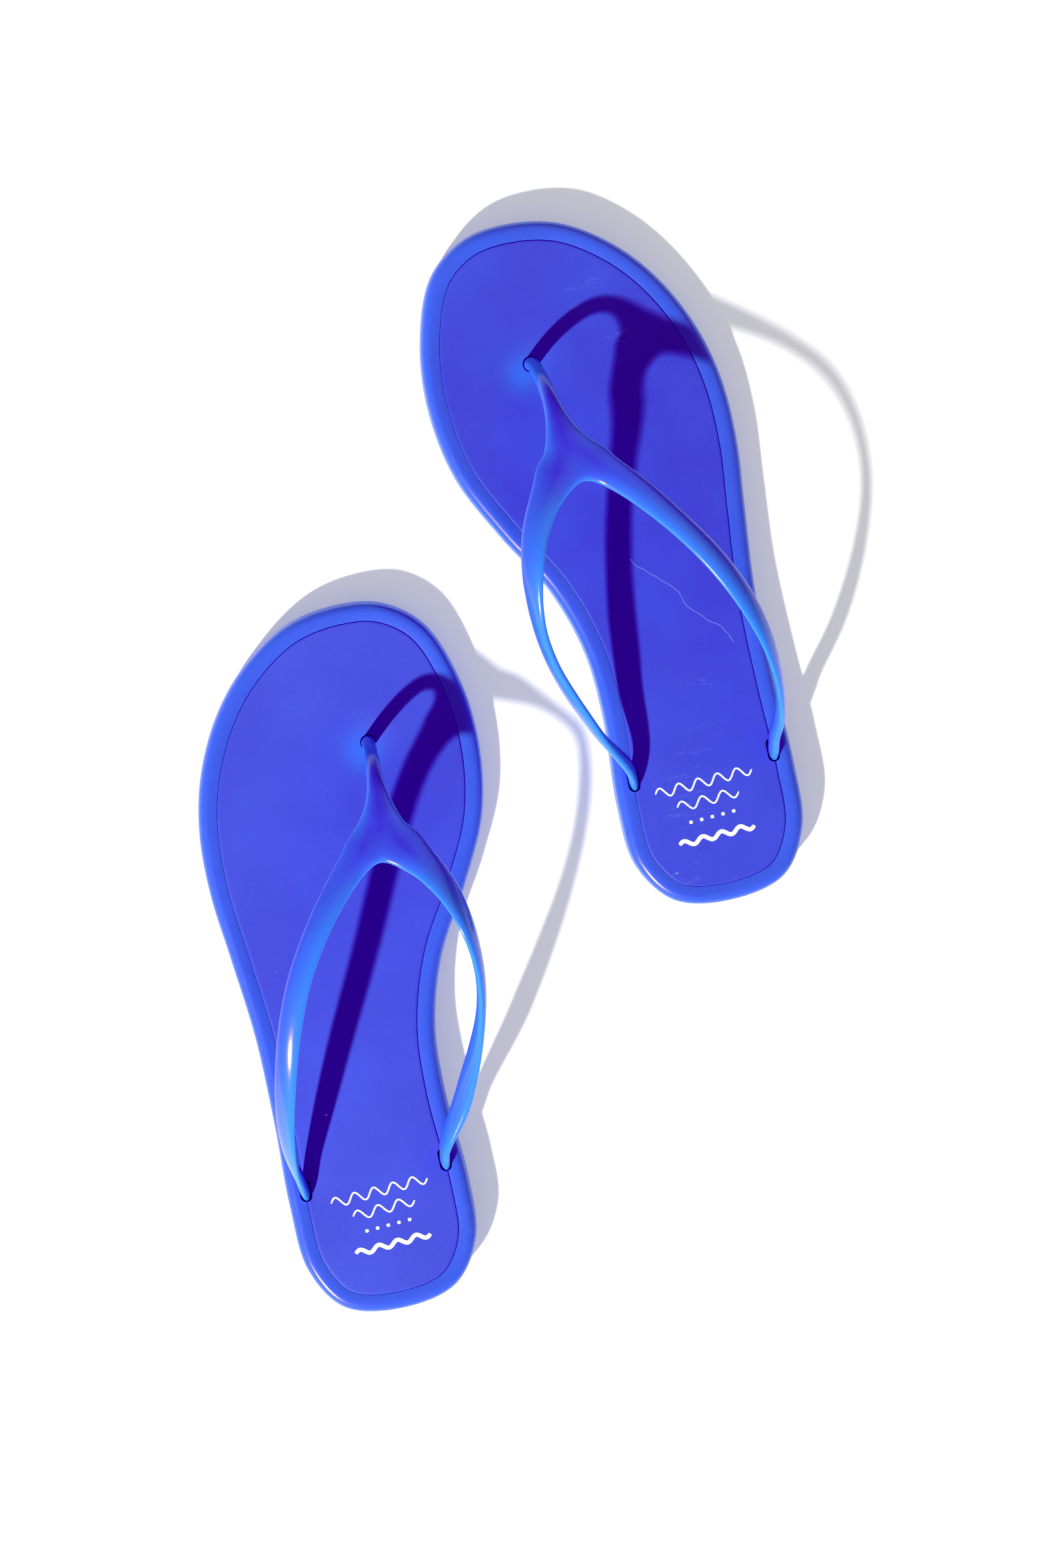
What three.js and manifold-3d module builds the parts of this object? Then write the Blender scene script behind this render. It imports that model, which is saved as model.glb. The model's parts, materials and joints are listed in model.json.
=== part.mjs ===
// A pair of slim moulded flip flops, standing side by side with the right one a little ahead.
// Millimetres, +Z up, +Y towards the toes, origin under the middle of the pair on the ground.
// Each sandal is drawn once, as a right one, around its toe hole, and mirrored for the left foot.
// Its pieces are a tray-shaped outsole, a footbed let into the tray and a one-piece strap whose
// three moulded heads sit in recesses under the sole. Outsole and footbed are each cut across
// the ball of the foot, where the soft sole bends.
import * as THREE from "three";
import { mergeVertices } from "three/addons/utils/BufferGeometryUtils.js";
import Module from "manifold-3d";

// Overall sizes
const soleLength = 255;
const soleWidth = 106.5; // widest, across the ball
const strapRise = 50; // highest centre line of the strap above the footbed
const postFromTip = 50.5; // toe tip to the toe post's hole
const anchorsFromPost = 154; // toe hole back to the two rear slots
const pairSpacing = 85.7; // between the two toe holes, across
const pairStagger = 120.5; // right toe hole ahead of the left one

// Sole
const toeThickness = 10.8; // ground to footbed at the toe post
const heelThickness = 14.5; // ground to footbed at the heel end
const toeSpring = 3.5; // the tip's lift off the ground
const rimWidth = 6.6; // outer edge to the crease round the footbed
const rimCrown = 0.5; // the rim's rise above the footbed
const rimShoulder = 3.4; // depth of the rounded outer edge of the rim
const bottomRound = 1.3; // rounded edge of the tread
const footbedThickness = 3;
const footbedRoll = 0.7; // small rolled edge of the footbed
const flexFromPost = 36; // toe hole back to the line where the sole bends

// Strap
const postDiameter = 5;
const webWidth = 11; // each strand where the two part
const armWidth = 8.8;
const endWidth = 8; // where the arms drop into the rear slots
const strapThickness = 3.4;
const slotInset = 6.8; // sole edge to the middle of a rear slot
// How far the top of each soft strap has settled away from the place it was moulded in.
const strapSettle = {
  right: { outwards: -1.5, ahead: -1 },
  left: { outwards: -3, ahead: 4 },
};

// Heads under the sole
const toeHeadDiameter = 16;
const heelHeadLength = 16;
const heelHeadWidth = 6.6;
const headThickness = 2.6;
const headSink = 0.8; // ground to the head's face
const headClearance = 0.7;

// Fits
const pieceGap = 0.3; // between faces that touch on the real sandal
const holeClearance = 0.5; // round the strap in its holes

// Mesh fineness
const sideSteps = 32; // outline points on each side of a sole
const sectionSteps = 10;
const stepsPerSpan = 3;

const wasm = await Module();
wasm.setup();

const blueSole = new THREE.MeshStandardMaterial({ color: 0x3a49e0, roughness: 0.38, metalness: 0 });
const blueFootbed = new THREE.MeshStandardMaterial({ color: 0x4043d6, roughness: 0.5, metalness: 0 });
const blueStrap = new THREE.MeshStandardMaterial({ color: 0x2f62f2, roughness: 0.22, metalness: 0 });

// ---------- solids ----------

function toSolid(geometry) {
  const bare = geometry.index ? geometry.toNonIndexed() : geometry.clone();
  const shape = new THREE.BufferGeometry();
  shape.setAttribute("position", bare.getAttribute("position"));
  const merged = mergeVertices(shape, 1e-4);
  return new wasm.Manifold(
    new wasm.Mesh({
      numProp: 3,
      vertProperties: merged.attributes.position.array,
      triVerts: new Uint32Array(merged.index.array),
    }),
  );
}

function toGeometry(solid) {
  const mesh = solid.getMesh();
  const geometry = new THREE.BufferGeometry();
  geometry.setAttribute("position", new THREE.BufferAttribute(mesh.vertProperties, 3));
  geometry.setIndex(new THREE.BufferAttribute(mesh.triVerts, 1));
  const flat = geometry.toNonIndexed();
  flat.computeVertexNormals();
  return flat;
}

function fromTriangles(points, faces) {
  const geometry = new THREE.BufferGeometry();
  geometry.setAttribute("position", new THREE.Float32BufferAttribute(points.flat(), 3));
  geometry.setIndex(faces.flat());
  return toSolid(geometry);
}

// ---------- the sole's outline ----------

// Shares of the width, from the toe hole to the outer side, and of the length, from the toe tip.
const outlineShares = [
  [0.009, 0],
  [0.189, 0.013],
  [0.36, 0.059],
  [0.486, 0.12],
  [0.579, 0.198],
  [0.624, 0.276],
  [0.632, 0.363],
  [0.612, 0.457],
  [0.588, 0.575],
  [0.588, 0.708],
  [0.597, 0.825],
  [0.582, 0.918],
  [0.487, 0.981],
  [0.292, 1],
  [0.1, 0.983],
  [-0.002, 0.924],
  [-0.02, 0.841],
  [-0.004, 0.708],
  [-0.02, 0.612],
  [-0.093, 0.516],
  [-0.221, 0.425],
  [-0.329, 0.331],
  [-0.368, 0.229],
  [-0.346, 0.135],
  [-0.268, 0.051],
  [-0.142, 0.01],
];
const heelShareIndex = 13;

const outlineCurve = new THREE.CatmullRomCurve3(
  outlineShares.map(([across, along]) => {
    return new THREE.Vector3(across * soleWidth, postFromTip - along * soleLength, 0);
  }),
  true,
  "centripetal",
);

// Points 0 to sideSteps run from the tip down the outer side to the heel, the rest come back.
function makeOutline() {
  const heelAt = heelShareIndex / outlineShares.length;
  const ends = [0, heelAt, 1];
  const points = [];
  for (let side = 0; side < 2; side += 1) {
    for (let i = 0; i < sideSteps; i += 1) {
      const t = ends[side] + ((ends[side + 1] - ends[side]) * i) / sideSteps;
      points.push(outlineCurve.getPoint(t));
    }
  }
  return points;
}

const outline = makeOutline();
const outlineCount = outline.length;

function insetOutline(inset) {
  return outline.map((point, i) => {
    const before = outline[(i + outlineCount - 1) % outlineCount];
    const after = outline[(i + 1) % outlineCount];
    const along = new THREE.Vector3().subVectors(after, before).normalize();
    return new THREE.Vector2(point.x + along.y * inset, point.y - along.x * inset);
  });
}

// The x of the sole's edge on one side (+1 outer, -1 inner) at a distance along the sandal.
function edgeAt(side, y) {
  let found = side * Infinity;
  outline.forEach((point, i) => {
    const next = outline[(i + 1) % outlineCount];
    if ((point.y - y) * (next.y - y) > 0) return;
    const share = (y - point.y) / (next.y - point.y || 1);
    const x = point.x + (next.x - point.x) * share;
    if (found * side === Infinity || x * side > found * side) found = x;
  });
  return found;
}

// ---------- heights ----------

// The underside lifts in a soft curve ahead of the toe post.
function groundHeight(y) {
  const share = Math.max(0, y) / postFromTip;
  return toeSpring * share * share;
}

function footbedHeight(y) {
  const heelY = postFromTip - soleLength;
  return toeThickness + ((heelThickness - toeThickness) * y) / heelY + groundHeight(y);
}

// ---------- lofts ----------

// A closed body from a stack of outline rings, [inset, height function], bottom to top.
function ringStack(rings) {
  const points = [];
  rings.forEach(([inset, height]) => {
    insetOutline(inset).forEach((p) => points.push([p.x, p.y, height(p.y)]));
  });
  const n = outlineCount;
  const faces = [];
  for (let ring = 0; ring < rings.length - 1; ring += 1) {
    for (let i = 0; i < n; i += 1) {
      const a = ring * n + i;
      const b = ring * n + ((i + 1) % n);
      faces.push([a, a + n, b + n], [a, b + n, b]);
    }
  }
  const top = (rings.length - 1) * n;
  const half = n / 2;
  for (let i = 0; i < half; i += 1) {
    const across = [i, i + 1, n - i - 1, (n - i) % n];
    const [a, b, c, d] = across;
    if (b !== c) {
      faces.push([a, b, c]);
      faces.push([top + c, top + b, top + a]);
    }
    if (a !== d) {
      faces.push([a, c, d]);
      faces.push([top + d, top + c, top + a]);
    }
  }
  return fromTriangles(points, faces);
}

// A flattened oval swept through stations of { at, edge, wide, thick }.
function strand(stations) {
  const path = new THREE.CatmullRomCurve3(stations.map((s) => new THREE.Vector3(...s.at)), false);
  const edges = new THREE.CatmullRomCurve3(stations.map((s) => new THREE.Vector3(...s.edge)), false);
  const count = (stations.length - 1) * stepsPerSpan;
  const points = [];
  const squareness = 0.8;
  for (let i = 0; i <= count; i += 1) {
    const t = i / count;
    const span = Math.min(Math.floor(t * (stations.length - 1)), stations.length - 2);
    const share = t * (stations.length - 1) - span;
    const from = stations[span];
    const to = stations[span + 1];
    const wide = from.wide + (to.wide - from.wide) * share;
    const thick = from.thick + (to.thick - from.thick) * share;
    const centre = path.getPoint(t);
    const tangent = path.getTangent(t);
    const edge = edges.getPoint(t);
    edge.addScaledVector(tangent, -edge.dot(tangent)).normalize();
    const face = new THREE.Vector3().crossVectors(tangent, edge);
    for (let k = 0; k < sectionSteps; k += 1) {
      const turn = (2 * Math.PI * k) / sectionSteps;
      const c = Math.cos(turn);
      const s = Math.sin(turn);
      const p = centre.clone();
      p.addScaledVector(edge, (wide / 2) * Math.sign(c) * Math.abs(c) ** squareness);
      p.addScaledVector(face, (thick / 2) * Math.sign(s) * Math.abs(s) ** squareness);
      points.push(p.toArray());
    }
  }
  const faces = [];
  for (let i = 0; i < count; i += 1) {
    for (let k = 0; k < sectionSteps; k += 1) {
      const a = i * sectionSteps + k;
      const b = i * sectionSteps + ((k + 1) % sectionSteps);
      faces.push([a, b, b + sectionSteps], [a, b + sectionSteps, a + sectionSteps]);
    }
  }
  const last = count * sectionSteps;
  for (let k = 1; k < sectionSteps - 1; k += 1) {
    faces.push([0, k + 1, k]);
    faces.push([last, last + k, last + k + 1]);
  }
  return fromTriangles(points, faces);
}

// An upright prism with a rounded-rectangle plan.
function roundedPrism(x, y, width, length, bottom, top) {
  const radius = Math.min(width, length) / 2 - 0.01;
  const w = width / 2 - radius;
  const l = length / 2 - radius;
  const plan = new THREE.Shape();
  plan.absarc(w, l, radius, 0, Math.PI / 2, false);
  plan.absarc(-w, l, radius, Math.PI / 2, Math.PI, false);
  plan.absarc(-w, -l, radius, Math.PI, 1.5 * Math.PI, false);
  plan.absarc(w, -l, radius, 1.5 * Math.PI, 2 * Math.PI, false);
  const depth = top - bottom;
  const prism = new THREE.ExtrudeGeometry(plan, { depth, bevelEnabled: false, curveSegments: 5 });
  prism.translate(x, y, bottom);
  return toSolid(prism);
}

// ---------- where the strap goes ----------

const anchorY = -anchorsFromPost;
const anchors = {
  inner: { x: edgeAt(-1, anchorY) + slotInset, y: anchorY },
  outer: { x: edgeAt(1, anchorY) - slotInset, y: anchorY },
};
const headTop = headSink + headThickness;
const postTop = footbedHeight(0);
const anchorTop = footbedHeight(anchorY);

// A station of the strap by its shares of the toe-hole-to-slots run, the width and the rise.
function station(back, across, rise, edge, wide, thick = strapThickness) {
  const y = -back * anchorsFromPost;
  return { at: [across * soleWidth, y, footbedHeight(y) + rise * strapRise], edge, wide, thick };
}

function postStation(y, across, z, wide) {
  return { at: [across * soleWidth, y, z], edge: [1, 0, 0], wide, thick: postDiameter };
}

// The last stations of an arm, turning down into its slot and on to its head.
function slotStations(anchor, lean) {
  const mouth = anchorTop + rimCrown;
  const shape = { wide: endWidth, thick: strapThickness };
  const at = (aside, forward, z) => [anchor.x + lean * aside, anchor.y + forward, z];
  return [
    { at: at(1.1, endWidth * 0.78, mouth + endWidth * 0.88), edge: [0, -0.8, 0.5], ...shape },
    { at: at(0.2, endWidth * 0.16, mouth + endWidth * 0.32), edge: [0, -1, 0.25], ...shape },
    { at: at(0, 0, mouth - 0.5), edge: [0, -1, 0], ...shape },
    { at: at(0, 0, (mouth + headTop) / 2), edge: [0, -1, 0], ...shape },
    { at: at(0, 0, headTop - 1), edge: [0, -1, 0], ...shape },
  ];
}

// Stations moved by a share of the settling that grows with their height over the footbed.
function settled(stations, settling) {
  return stations.map((place) => {
    const [x, y, z] = place.at;
    const rise = THREE.MathUtils.smoothstep(z, footbedHeight(y), footbedHeight(y) + strapRise);
    return { ...place, at: [x + settling.outwards * rise, y + settling.ahead * rise, z] };
  });
}

const bandStation = station(0.12, 0.034, 0.71, [1, 0, 0], 8, 4);

const innerStations = [
  postStation(0, 0, headTop - 1, postDiameter),
  postStation(0, 0, postTop, postDiameter),
  postStation(-0.3, 0.003, postTop + 9, postDiameter),
  postStation(-2.8, 0.011, postTop + 19, postDiameter),
  station(0.06, 0.024, 0.58, [1, 0, 0], 6.2, 4.4),
  bandStation,
  station(0.188, 0.033, 0.79, [1, 0, 0], webWidth),
  station(0.251, 0.004, 0.84, [1, 0, 0], webWidth),
  station(0.316, -0.07, 0.91, [1, 0, 0.12], 10.2),
  station(0.439, -0.147, 1, [0.75, 0, 0.66], armWidth),
  station(0.597, -0.165, 0.82, [0.2, 0, 1], armWidth),
  station(0.753, -0.11, 0.55, [0.1, -0.2, 1], armWidth),
  station(0.871, -0.035, 0.32, [0, -0.5, 0.9], 8.4),
  ...slotStations(anchors.inner, -1),
];

const outerStations = [
  station(0.102, 0.032, 0.67, [-1, 0, 0], 7, 3.8),
  station(0.188, 0.06, 0.79, [-1, 0, 0], webWidth),
  station(0.247, 0.124, 0.84, [-1, 0, 0.05], 10.4),
  station(0.313, 0.229, 0.9, [-1, 0, 0.12], 9.6),
  station(0.397, 0.331, 0.965, [-1, 0, 0.25], armWidth),
  station(0.499, 0.433, 1, [-1, -0.1, 0.4], armWidth),
  station(0.606, 0.511, 0.95, [-0.8, -0.1, 0.6], armWidth),
  station(0.718, 0.563, 0.82, [-0.6, -0.3, 0.8], armWidth),
  station(0.822, 0.58, 0.6, [-0.4, -0.5, 0.8], 8.6),
  station(0.908, 0.568, 0.36, [-0.2, -0.7, 0.7], 8.2),
  ...slotStations(anchors.outer, 1),
];

// ---------- the pieces ----------

function makeOutsole() {
  const top = (drop) => (y) => footbedHeight(y) - drop;
  const ground = (rise) => (y) => groundHeight(y) + rise;
  const tray = ringStack([
    [bottomRound, ground(0)],
    [bottomRound * 0.3, ground(bottomRound * 0.3)],
    [0, ground(bottomRound)],
    [0, top(rimShoulder)],
    [rimWidth * 0.06, top(rimShoulder * 0.52)],
    [rimWidth * 0.2, top(rimShoulder * 0.1)],
    [rimWidth * 0.4, top(-rimCrown * 0.8)],
    [rimWidth * 0.6, top(-rimCrown)],
    [rimWidth * 0.88, top(-rimCrown * 0.7)],
    [rimWidth, top(0)],
    [rimWidth, top(footbedThickness + pieceGap)],
  ]);
  return tray.subtract(toeRecess()).subtract(heelRecess(anchors.inner)).subtract(heelRecess(anchors.outer));
}

function makeFootbed() {
  const top = (drop) => (y) => footbedHeight(y) - drop;
  return ringStack([
    [rimWidth + pieceGap, top(footbedThickness)],
    [rimWidth + pieceGap, top(footbedRoll)],
    [rimWidth + pieceGap + footbedRoll * 0.3, top(footbedRoll * 0.3)],
    [rimWidth + pieceGap + footbedRoll, top(0)],
  ]);
}

function toeRecess() {
  const wide = toeHeadDiameter + 2 * headClearance;
  return roundedPrism(0, 0, wide, wide, -1, headTop + pieceGap);
}

function heelRecess(anchor) {
  const wide = heelHeadWidth + 2 * headClearance;
  const long = heelHeadLength + 2 * headClearance;
  return roundedPrism(anchor.x, anchor.y, wide, long, -1, headTop + pieceGap);
}

// The round hole for the toe post and the two slots for the arms, through the whole sole.
function strapHoles() {
  const high = heelThickness + strapRise / 2;
  const hole = postDiameter + 2 * holeClearance;
  const wide = strapThickness + 2 * holeClearance;
  const long = endWidth + 2 * holeClearance;
  return roundedPrism(0, 0, hole, hole, -1, high)
    .add(roundedPrism(anchors.inner.x, anchors.inner.y, wide, long, -1, high))
    .add(roundedPrism(anchors.outer.x, anchors.outer.y, wide, long, -1, high));
}

function makeStrap(settling) {
  const heelHead = (anchor) => {
    return roundedPrism(anchor.x, anchor.y, heelHeadWidth, heelHeadLength, headSink, headTop);
  };
  return strand(settled(innerStations, settling))
    .add(strand(settled(outerStations, settling)))
    .add(roundedPrism(0, 0, toeHeadDiameter, toeHeadDiameter, headSink, headTop))
    .add(heelHead(anchors.inner))
    .add(heelHead(anchors.outer));
}

// Keeps the part of a solid ahead of the flex line (side +1) or behind it (side -1).
function besideFlexLine(solid, side) {
  const big = 2 * (soleLength + soleWidth);
  const cutter = new THREE.BoxGeometry(big, big, big);
  cutter.translate(0, -flexFromPost - (side * (big - pieceGap)) / 2, 0);
  return solid.subtract(toSolid(cutter));
}

const holes = strapHoles();
const outsole = makeOutsole().subtract(holes);
const footbed = makeFootbed().subtract(holes);

const pieces = {
  outsole_front: [besideFlexLine(outsole, 1), blueSole],
  outsole_rear: [besideFlexLine(outsole, -1), blueSole],
  footbed_front: [besideFlexLine(footbed, 1), blueFootbed],
  footbed_rear: [besideFlexLine(footbed, -1), blueFootbed],
};

// ---------- the pair ----------

function makeSandal(foot, mirror) {
  const sandal = new THREE.Group();
  const middle = soleLength / 2 - postFromTip;
  sandal.position.set((mirror * pairSpacing) / 2, middle + (mirror * pairStagger) / 2, 0);
  sandal.scale.set(mirror, 1, 1);
  const all = { ...pieces, strap: [makeStrap(strapSettle[foot]), blueStrap] };
  Object.entries(all).forEach(([name, [solid, material]]) => {
    const mesh = new THREE.Mesh(toGeometry(solid), material);
    mesh.name = `${foot}_${name}`;
    sandal.add(mesh);
  });
  return sandal;
}

const pair = new THREE.Group();
pair.add(makeSandal("right", 1));
pair.add(makeSandal("left", -1));

export default pair;
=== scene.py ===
# %% [markdown]
# # A pair of moulded flip flops
# Each sandal is four things: a tray-shaped outsole, a footbed let into the tray, a one-piece
# strap that is pushed through three holes from below, and a white print on the heel. The frame
# that is loaded first holds their true sizes and the line where each sole bends. Everything
# that shows is built around it here, in metres, with a right and a left foot from one recipe.

# %% Load the frame
import json
import math

import bpy
from mathutils import Matrix, Vector


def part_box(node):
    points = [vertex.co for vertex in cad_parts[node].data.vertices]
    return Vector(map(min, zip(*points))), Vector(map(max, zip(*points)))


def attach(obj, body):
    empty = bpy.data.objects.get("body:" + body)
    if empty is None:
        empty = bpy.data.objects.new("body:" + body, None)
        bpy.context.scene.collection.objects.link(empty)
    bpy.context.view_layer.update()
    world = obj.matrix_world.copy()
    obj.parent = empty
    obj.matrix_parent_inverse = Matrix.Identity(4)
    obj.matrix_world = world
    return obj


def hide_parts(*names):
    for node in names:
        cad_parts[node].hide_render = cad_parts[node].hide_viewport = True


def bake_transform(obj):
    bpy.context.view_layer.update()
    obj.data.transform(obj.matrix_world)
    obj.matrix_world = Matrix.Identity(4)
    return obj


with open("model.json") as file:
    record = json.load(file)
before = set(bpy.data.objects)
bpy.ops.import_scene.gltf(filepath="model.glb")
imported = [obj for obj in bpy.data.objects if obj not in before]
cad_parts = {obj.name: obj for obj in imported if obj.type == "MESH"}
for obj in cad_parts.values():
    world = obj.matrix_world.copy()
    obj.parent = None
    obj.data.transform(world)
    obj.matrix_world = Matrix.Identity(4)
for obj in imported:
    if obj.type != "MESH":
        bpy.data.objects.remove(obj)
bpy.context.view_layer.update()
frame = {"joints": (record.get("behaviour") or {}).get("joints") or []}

# %% [markdown]
# ## Sizes
# The frame gives the outline's length and width, and the bending line of each sole gives the
# place of its toe hole. What can't be read from the frame's boxes, such as a rim's width or the
# roll of an edge, is a named size here. Sizes are in millimetres because that is how a shoe
# maker thinks, and one helper turns them into metres when a mesh is made.

# %% Named sizes, in millimetres
MM = 0.001
TOE_HOLE_AHEAD_OF_FLEX = 36
RIM_WIDTH = 6.6
RIM_CROWN = 0.15
RIM_LIP = 0.2  # how far the rim's inner edge lies below the footbed
RIM_SHOULDER = 3.4
RIM_PEAK = 0.5  # share of the rim's width, from outside, where it is highest
BOTTOM_ROUND = 1.3
FOOTBED_THICKNESS = 3
FOOTBED_ROLL = 0.45
PIECE_GAP = 0.3
CREASE = 0.08  # how far the footbed's edge stays from the rim
TOE_THICKNESS = 10.8
HEEL_THICKNESS = 14.5
TOE_SPRING = 3.5
STRAP_RISE = 50
STRAP_THICKNESS = 3.6
POST_DIAMETER = 5
END_WIDTH = 8
SLOT_INSET = 6.8
HOLE_CLEARANCE = 0.35
HEAD_SINK = 0.8
HEAD_THICKNESS = 2.6
HEAD_TOP = HEAD_SINK + HEAD_THICKNESS
TOE_HEAD_DIAMETER = 16
HEEL_HEAD = (6.6, 16)  # across and along
HEAD_CLEARANCE = 0.7
CUT_FROM = -2  # where the cutting pins start, below the ground
# How far the top of each strap has settled outwards and ahead of the place it was moulded in.
STRAP_SETTLE = {"right": (-1.3, -1), "left": (-3.2, 4)}
# How far each outer arm hangs in, at the most, half way down to its slot.
OUTER_TUCK = {"right": 0, "left": 3}
TUCK_FROM = 0.35  # share of the strap's run where that starts

flex_joints = {j["child"].split("_")[0]: j for j in frame["joints"] if j["type"] == "hinge"}


class Foot:
    """One sandal's own frame: its origin is the toe hole on the ground, x points outwards."""

    def __init__(self, side, mirror):
        x, y, z = flex_joints[side]["pos_m"]
        self.side = side
        self.mirror = mirror
        self.origin = Vector((x, y + TOE_HOLE_AHEAD_OF_FLEX * MM, 0))
        self.hinge = Vector((x, y, z))

    def world(self, point):
        x, y, z = point
        return self.origin + Vector((self.mirror * x, y, z)) * MM


feet = [Foot("right", 1), Foot("left", -1)]

right_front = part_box("right_outsole_front")
right_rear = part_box("right_outsole_rear")
toe_y = feet[0].origin.y
SOLE_WIDTH = (max(right_front[1].x, right_rear[1].x) - min(right_front[0].x, right_rear[0].x)) / MM
SOLE_LENGTH = (right_front[1].y - right_rear[0].y) / MM
POST_FROM_TIP = (right_front[1].y - toe_y) / MM
HEEL_Y = POST_FROM_TIP - SOLE_LENGTH
STRAP_RUN = (toe_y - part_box("right_strap")[0].y) / MM - HEEL_HEAD[1] / 2
print(f"sole {SOLE_LENGTH:.1f} x {SOLE_WIDTH:.1f} mm, strap run {STRAP_RUN:.1f} mm")


def ground_height(y):
    """The toe end of the sole lifts off the ground in a soft curve."""
    share = max(0, y) / POST_FROM_TIP
    return TOE_SPRING * share * share


def footbed_height(y):
    wedge = (HEEL_THICKNESS - TOE_THICKNESS) * y / HEEL_Y
    return TOE_THICKNESS + wedge + ground_height(y)


# %% [markdown]
# ## Smooth curves through a few points
# A sandal's outline and the run of its strap are both free curves. A designer would draw them
# with a few points and let the software round them off. A Catmull-Rom curve does that and goes
# through every point, so the numbers stay the real places of the edge. The centripetal kind is
# used because it never overshoots between points that lie close together.

# %% Centripetal Catmull-Rom curve
SHORTEST_SPAN = 1e-6


def curve_points(controls, per_span, closed=False):
    """Points on a smooth curve through the control points, per_span to each stretch."""
    controls = [Vector(c) for c in controls]
    count = len(controls)
    spans = count if closed else count - 1
    points = []

    def control(i):
        if closed:
            return controls[i % count]
        if i < 0:
            return controls[0] * 2 - controls[1]
        if i >= count:
            return controls[-1] * 2 - controls[-2]
        return controls[i]

    for span in range(spans):
        p0, p1, p2, p3 = (control(span + k) for k in (-1, 0, 1, 2))
        d0 = max((p1 - p0).length, SHORTEST_SPAN) ** 0.5
        d1 = max((p2 - p1).length, SHORTEST_SPAN) ** 0.5
        d2 = max((p3 - p2).length, SHORTEST_SPAN) ** 0.5
        m1 = ((p1 - p0) / d0 - (p2 - p0) / (d0 + d1) + (p2 - p1) / d1) * d1
        m2 = ((p2 - p1) / d1 - (p3 - p1) / (d1 + d2) + (p3 - p2) / d2) * d1
        for step in range(per_span):
            t = step / per_span
            a = 2 * t**3 - 3 * t**2 + 1
            b = t**3 - 2 * t**2 + t
            c = -2 * t**3 + 3 * t**2
            d = t**3 - t**2
            points.append(p1 * a + m1 * b + p2 * c + m2 * d)
    if not closed:
        points.append(controls[-1].copy())
    return points


# %% [markdown]
# ## The sole's outline
# A sole's outline is what a last maker draws first: broad at the ball, narrow at the waist and
# round at the heel. Every other line of the sole follows it, so it is drawn once, and the rings
# of the outsole and the footbed are the same outline moved inwards.

# %% Outline and the places of the rear slots
# Shares of the width, outwards from the toe hole, and of the length, back from the toe tip.
OUTLINE_SHARES = [
    (0.009, 0), (0.189, 0.013), (0.36, 0.059), (0.486, 0.12), (0.579, 0.198),
    (0.624, 0.276), (0.632, 0.363), (0.612, 0.457), (0.588, 0.575), (0.588, 0.708),
    (0.597, 0.825), (0.582, 0.918), (0.487, 0.981), (0.292, 1), (0.1, 0.983),
    (-0.002, 0.924), (-0.02, 0.841), (-0.004, 0.708), (-0.02, 0.612), (-0.093, 0.516),
    (-0.221, 0.425), (-0.329, 0.331), (-0.368, 0.229), (-0.346, 0.135), (-0.268, 0.051),
    (-0.142, 0.01),
]
SPAN_STEPS = 8
outline = curve_points(
    [(a * SOLE_WIDTH, POST_FROM_TIP - b * SOLE_LENGTH, 0) for a, b in OUTLINE_SHARES],
    SPAN_STEPS,
    closed=True,
)
RING = len(outline)
HALF = RING // 2
print("outline:", RING, "points")


def inset_outline(inset):
    """The outline moved inwards, square to itself."""
    moved = []
    for i, point in enumerate(outline):
        along = (outline[(i + 1) % RING] - outline[i - 1]).normalized()
        moved.append(Vector((point.x + along.y * inset, point.y - along.x * inset, 0)))
    return moved


def edge_at(side, y):
    """The x of the sole's edge, outer (+1) or inner (-1), at one place along the sandal."""
    found = []
    for i, point in enumerate(outline):
        after = outline[(i + 1) % RING]
        if (point.y - y) * (after.y - y) <= 0 and point.y != after.y:
            share = (y - point.y) / (after.y - point.y)
            found.append(point.x + (after.x - point.x) * share)
    return max(found, key=lambda x: side * x)


ANCHOR_Y = -STRAP_RUN
inner_anchor = Vector((edge_at(-1, ANCHOR_Y) + SLOT_INSET, ANCHOR_Y, 0))
outer_anchor = Vector((edge_at(1, ANCHOR_Y) - SLOT_INSET, ANCHOR_Y, 0))
print("rear slots at", [round(c, 1) for c in (inner_anchor.x, outer_anchor.x, ANCHOR_Y)])


# %% [markdown]
# ## Mesh helpers
# Soft moulded plastic has no flat facets, so each mesh is either dense and smoothly shaded or
# a coarse cage with a subdivision surface. Holes, recesses and grooves are cut with exact
# booleans, as a mould's pins and ribs would leave them. After a cut, only edges sharper than a
# set angle stay hard, so that a hole has a crisp lip and the rest stays smooth.

# %% Make a mesh object
def make_object(name, foot, points, faces):
    """A mesh object in the whole pair's frame, from points in one sandal's own frame."""
    mesh = bpy.data.meshes.new(name)
    mesh.from_pydata([foot.world(p) for p in points], [], faces)
    if foot.mirror < 0:
        mesh.flip_normals()
    mesh.update()
    made = bpy.data.objects.new(name, mesh)
    bpy.context.scene.collection.objects.link(made)
    return made


# %% Cut, shade and measure
WELD_DISTANCE = 1e-6


def apply_modifiers(obj):
    """Bakes an object's modifiers into its mesh."""
    bpy.context.view_layer.update()
    graph = bpy.context.evaluated_depsgraph_get()
    baked = bpy.data.meshes.new_from_object(obj.evaluated_get(graph))
    old = obj.data
    obj.modifiers.clear()
    obj.data = baked
    bpy.data.meshes.remove(old)


def boolean(obj, tool, operation):
    """Cuts tool from obj, or joins it on, and removes tool."""
    change = obj.modifiers.new(operation, "BOOLEAN")
    change.operation = operation
    change.solver = "EXACT"
    change.object = tool
    apply_modifiers(obj)
    bpy.data.objects.remove(tool)


def weld(obj):
    """Merges points that lie on each other, such as a round end's first and last."""
    change = obj.modifiers.new("weld", "WELD")
    change.merge_threshold = WELD_DISTANCE
    apply_modifiers(obj)


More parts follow.
